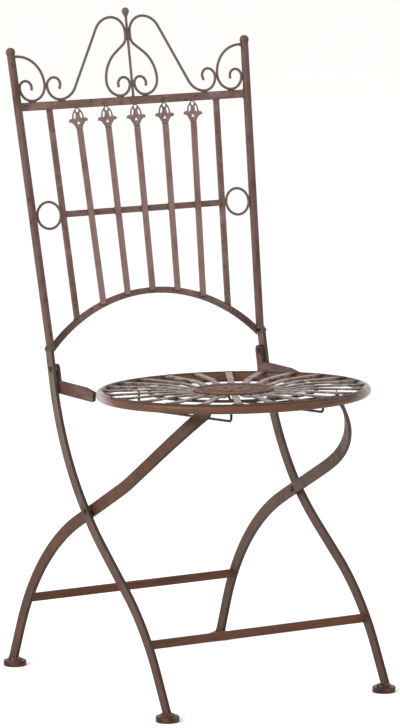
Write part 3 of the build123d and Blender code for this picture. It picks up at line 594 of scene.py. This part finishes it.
# Seams of each body; a third value marks a heavy weld and tells how many millimetres it spreads
WELDED = {
    "back_frame": (
        ("upright", "front_leg", 2.5), ("front_leg", "upright", 4.5), ("top_rail", "upright"),
        ("arch", "front_leg"), ("arch", "upright"), ("inner_bar", "top_rail"), ("inner_bar", "arch"),
        ("mid_rail", "inner_bar"), ("ring", "inner_bar"), ("ring", "upright"), ("slat", "arch"),
        ("slat", "mid_rail"), ("slat_finial", "top_rail"), ("corner_scroll", "top_rail", 0.8),
        ("corner_scroll", "upright", 0.7), ("crest_scroll", "top_rail", 0.8),
        ("crest_scroll", "corner_scroll", 0.8), ("crest_scroll", "crest_rod", 0.6),
        ("crest_rod", "top_rail"), ("front_stretcher", "front_leg"), ("front_leg", "front_foot", 1.5)),
    "rear_legs": (("rear_stretcher", "rear_leg"), ("rear_leg", "rear_foot", 1.5)),
    "seat": (
        ("seat_strips", "seat_rim"), ("seat_arm", "seat_rim"), ("slide_guide", "seat_rim")),
}


def kin(kind):
    """CAD nodes of one kind, whatever their side or number."""
    plain = {name: "_".join(w for w in name.split("_") if w not in ("left", "right") and not w.isdigit())
             for name in frame["nodes"]}
    return [name for name, word in plain.items() if word == kind]


def halved(corners, longest):
    """Triangles cut in half, again and again, until no side is longer than that."""
    while True:
        sides = numpy.linalg.norm(corners - numpy.roll(corners, -1, axis=1), axis=2)
        long = sides.max(axis=1, initial=0) > longest
        if not long.any():
            return corners
        turn = (numpy.arange(3) + sides[long].argmax(axis=1)[:, None]) % 3
        a, b, c = numpy.moveaxis(numpy.take_along_axis(corners[long], turn[:, :, None], axis=1), 1, 0)
        halves = [numpy.stack((a, (a + b) / 2, c), axis=1), numpy.stack(((a + b) / 2, b, c), axis=1)]
        corners = numpy.concatenate([corners[~long], *halves])


def touching(one, other, reach, grain):
    """Points of one CAD node that lie within reach of another, about grain apart."""
    low, high = (numpy.array(corner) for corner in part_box(other))
    mesh = frame["nodes"][one].data
    mesh.calc_loop_triangles()
    corners = numpy.array([[mesh.vertices[i].co for i in t.vertices] for t in mesh.loop_triangles])
    tree = BVHTree.FromObject(frame["nodes"][other], bpy.context.evaluated_depsgraph_get())
    # Coarse pieces first, so that only those near the other node are cut as fine as the grain
    for size in (20 * grain, 5 * grain, grain):
        margin = reach + (size if size > grain else 0)
        boxed = numpy.all(
            (corners.max(axis=1) > low - margin) & (corners.min(axis=1) < high + margin), axis=1)
        corners = halved(corners[boxed], size)
        middles = [Vector(point) for point in corners.mean(axis=1)]
        close = [tree.find_nearest(point, margin)[0] is not None for point in middles]
        corners = corners[numpy.array(close, dtype=bool)]
    return [Vector(point) for point in corners.mean(axis=1)]


def spaced(points, spacing):
    """Keeps points that lie at least spacing apart."""
    cells, kept = {}, []
    for point in points:
        cell = tuple(math.floor(value / spacing) for value in point)
        around = [cells.get((cell[0] + i, cell[1] + j, cell[2] + k), [])
                  for i in (-1, 0, 1) for j in (-1, 0, 1) for k in (-1, 0, 1)]
        if all((point - other).length >= spacing for group in around for other in group):
            cells.setdefault(cell, []).append(point)
            kept.append(point)
    return kept


def bead_tree():
    """Uneven drops of weld, one on each point and sized by the point's weight."""
    tree, given, result, keys = node_tree("weld_beads", {
        "Bead Radius": "NodeSocketFloat", "Seed": "NodeSocketInt", "Finish": "NodeSocketMaterial"})
    drop = add(tree, "GeometryNodeMeshIcoSphere", {
        "Radius": given["Bead Radius"], "Subdivisions": 2}).outputs["Mesh"]
    smooth = add(tree, "GeometryNodeSetShadeSmooth", {"Geometry": drop}).outputs["Geometry"]
    varied = add(tree, "FunctionNodeRandomValue", {
        "Min": (0.75, 0.75, 0.75), "Max": (1.2, 1.2, 1.2), "Seed": given["Seed"]},
        data_type="FLOAT_VECTOR").outputs["Value"]
    weight = add(tree, "GeometryNodeInputNamedAttribute", {
        "Name": "weight"}, data_type="FLOAT").outputs["Attribute"]
    uneven = add(tree, "ShaderNodeVectorMath", {
        0: varied, "Scale": weight}, operation="SCALE").outputs["Vector"]
    turned = add(tree, "FunctionNodeRandomValue", {
        "Min": (0, 0, 0), "Max": (math.tau, math.tau, math.tau), "Seed": given["Seed"]},
        data_type="FLOAT_VECTOR").outputs["Value"]
    drops = add(tree, "GeometryNodeInstanceOnPoints", {
        "Points": given["Geometry"], "Instance": smooth, "Rotation": turned,
        "Scale": uneven}).outputs["Instances"]
    real = add(tree, "GeometryNodeRealizeInstances", {"Geometry": drops}).outputs["Geometry"]
    painted = add(tree, "GeometryNodeSetMaterial", {
        "Geometry": real, "Material": given["Finish"]}).outputs["Geometry"]
    tree.links.new(painted, result)
    return tree, keys


class CHAIR_OT_weld_beads(bpy.types.Operator):
    """Run beads of weld along the seams between pieces of one body"""

    bl_idname = "chair.weld_beads"
    bl_label = "Weld Beads"

    def execute(self, context):
        size = context.scene.chair_welds
        tree, keys = bead_tree()
        for body, seams in WELDED.items():
            spots = {1.0: [], size.heavy: []}
            for first, second, *spread in seams:
                weight = size.heavy if spread else 1.0
                reach = spread[0] * MM if spread else size.reach
                for one in kin(first):
                    for other in kin(second):
                        spots[weight] += touching(one, other, reach, size.spacing / 2)
            drops = [(point, weight) for weight, found in spots.items()
                     for point in spaced(found, size.spacing * weight)]
            base = bpy.data.meshes.new(f"{body}_seams")
            base.from_pydata([point for point, weight in drops], [], [])
            weights = base.attributes.new("weight", "FLOAT", "POINT")
            weights.data.foreach_set("value", [weight for point, weight in drops])
            beads = grown(f"{body}_welds", base, tree, keys, {
                "Bead Radius": size.bead, "Seed": 7, "Finish": finish_named("weld_scale")})
            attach(beads, body)
        return {"FINISHED"}


class ChairStage(bpy.types.PropertyGroup):
    """Studio floor, lights and the camera at the photograph's angle."""

    azimuth: bpy.props.FloatProperty(
        name="Azimuth", description="Camera direction round the chair",
        subtype="ANGLE", default=math.radians(-31.86))
    elevation: bpy.props.FloatProperty(
        name="Elevation", description="Camera direction above the horizon",
        subtype="ANGLE", default=math.radians(8.775))
    place: bpy.props.FloatVectorProperty(
        name="Camera Place", description="Camera position in the chair's frame",
        subtype="TRANSLATION", size=3, default=(-3.8142, -6.1169, 1.5885))
    lens: bpy.props.FloatProperty(
        name="Lens", description="Focal length for a 36 mm long side",
        unit="CAMERA", default=246.5)
    key_power: bpy.props.FloatProperty(
        name="Key Light", description="Power of the soft light at the left", unit="POWER", default=150.0)
    fill_power: bpy.props.FloatProperty(
        name="Fill Light", description="Power of the soft light at the right", unit="POWER", default=28.0)


class CHAIR_OT_stage(bpy.types.Operator):
    """Set up the pale floor, soft lights and camera"""

    bl_idname = "chair.stage"
    bl_label = "Studio Stage"

    def execute(self, context):
        stage = context.scene.chair_stage
        bm = bmesh.new()
        bmesh.ops.create_grid(bm, x_segments=1, y_segments=1, size=12)
        mesh = bpy.data.meshes.new("studio_floor")
        bm.to_mesh(mesh)
        bm.free()
        floor = bpy.data.objects.new("studio_floor", mesh)
        context.scene.collection.objects.link(floor)
        # Matt white paper: no gloss, so the floor melts into the white surroundings
        paper = bpy.data.materials.new("matt_white_paper")
        paper.use_nodes = True
        paper.node_tree.nodes.clear()
        shader = add(paper.node_tree, "ShaderNodeBsdfPrincipled", {
            "Base Color": (*linear("#f7f6f4"), 1), "Roughness": 0.95, "Specular IOR Level": 0.0})
        add(paper.node_tree, "ShaderNodeOutputMaterial", {"Surface": shader.outputs["BSDF"]})
        mesh.materials.append(paper)

        world = bpy.data.worlds.new("studio")
        world.use_nodes = True
        world.node_tree.nodes.clear()
        sky = add(world.node_tree, "ShaderNodeBackground", {"Color": (1.0, 1.0, 1.0, 1), "Strength": 1.06})
        add(world.node_tree, "ShaderNodeOutputWorld", {"Surface": sky.outputs["Background"]})
        context.scene.world = world
        context.scene.view_settings.view_transform = "Standard"

        aim = Vector((0, 0, 0.5))
        for name, power, size, spot in (
            ("key_light", stage.key_power, 2.0, Vector((-3.6, -0.6, 2.6))),
            ("fill_light", stage.fill_power, 3.0, Vector((3.2, -2.0, 2.4))),
        ):
            lamp = bpy.data.lights.new(name, "AREA")
            lamp.energy = power
            lamp.size = size
            light = bpy.data.objects.new(name, lamp)
            light.location = spot
            light.rotation_euler = (aim - spot).to_track_quat("-Z", "Y").to_euler()
            context.scene.collection.objects.link(light)

        lens = bpy.data.cameras.new("photo_camera")
        lens.lens = stage.lens
        lens.clip_end = 100
        camera = bpy.data.objects.new("photo_camera", lens)
        across, up = stage.azimuth, stage.elevation
        away = Vector((math.sin(across) * math.cos(up), -math.cos(across) * math.cos(up), math.sin(up)))
        camera.location = Vector(stage.place)
        camera.rotation_euler = (-away).to_track_quat("-Z", "Y").to_euler()
        context.scene.collection.objects.link(camera)
        context.scene.camera = camera
        return {"FINISHED"}


class CHAIR_PT_tools(bpy.types.Panel):
    """Lists the chair's operators"""

    bl_idname = "CHAIR_PT_tools"
    bl_label = "Garden Chair"
    bl_space_type = "VIEW_3D"
    bl_region_type = "UI"
    bl_category = "Garden Chair"

    def draw(self, context):
        for operator in OPERATORS:
            self.layout.operator(operator.bl_idname)


GROUPS = {
    "chair_finish": ChairFinish,
    "chair_medallion": ChairMedallion,
    "chair_welds": ChairWelds,
    "chair_stage": ChairStage,
}
OPERATORS = (
    CHAIR_OT_paint_legs, CHAIR_OT_paint_back, CHAIR_OT_paint_seat, CHAIR_OT_medallion, CHAIR_OT_weld_beads,
    CHAIR_OT_stage)


def register():
    for group in GROUPS.values():
        bpy.utils.register_class(group)
    for name, group in GROUPS.items():
        setattr(bpy.types.Scene, name, bpy.props.PointerProperty(type=group))
    for operator in OPERATORS:
        bpy.utils.register_class(operator)
    bpy.utils.register_class(CHAIR_PT_tools)


def unregister():
    bpy.utils.unregister_class(CHAIR_PT_tools)
    for operator in reversed(OPERATORS):
        bpy.utils.unregister_class(operator)
    for name, group in GROUPS.items():
        delattr(bpy.types.Scene, name)
        bpy.utils.unregister_class(group)


def main():
    """Registers the chair's classes and runs its operators in order."""
    register()
    bpy.ops.chair.paint_legs()
    bpy.ops.chair.paint_back()
    bpy.ops.chair.paint_seat()
    bpy.ops.chair.medallion()
    bpy.ops.chair.weld_beads()
    bpy.ops.chair.stage()


if __name__ == "__main__":
    main()
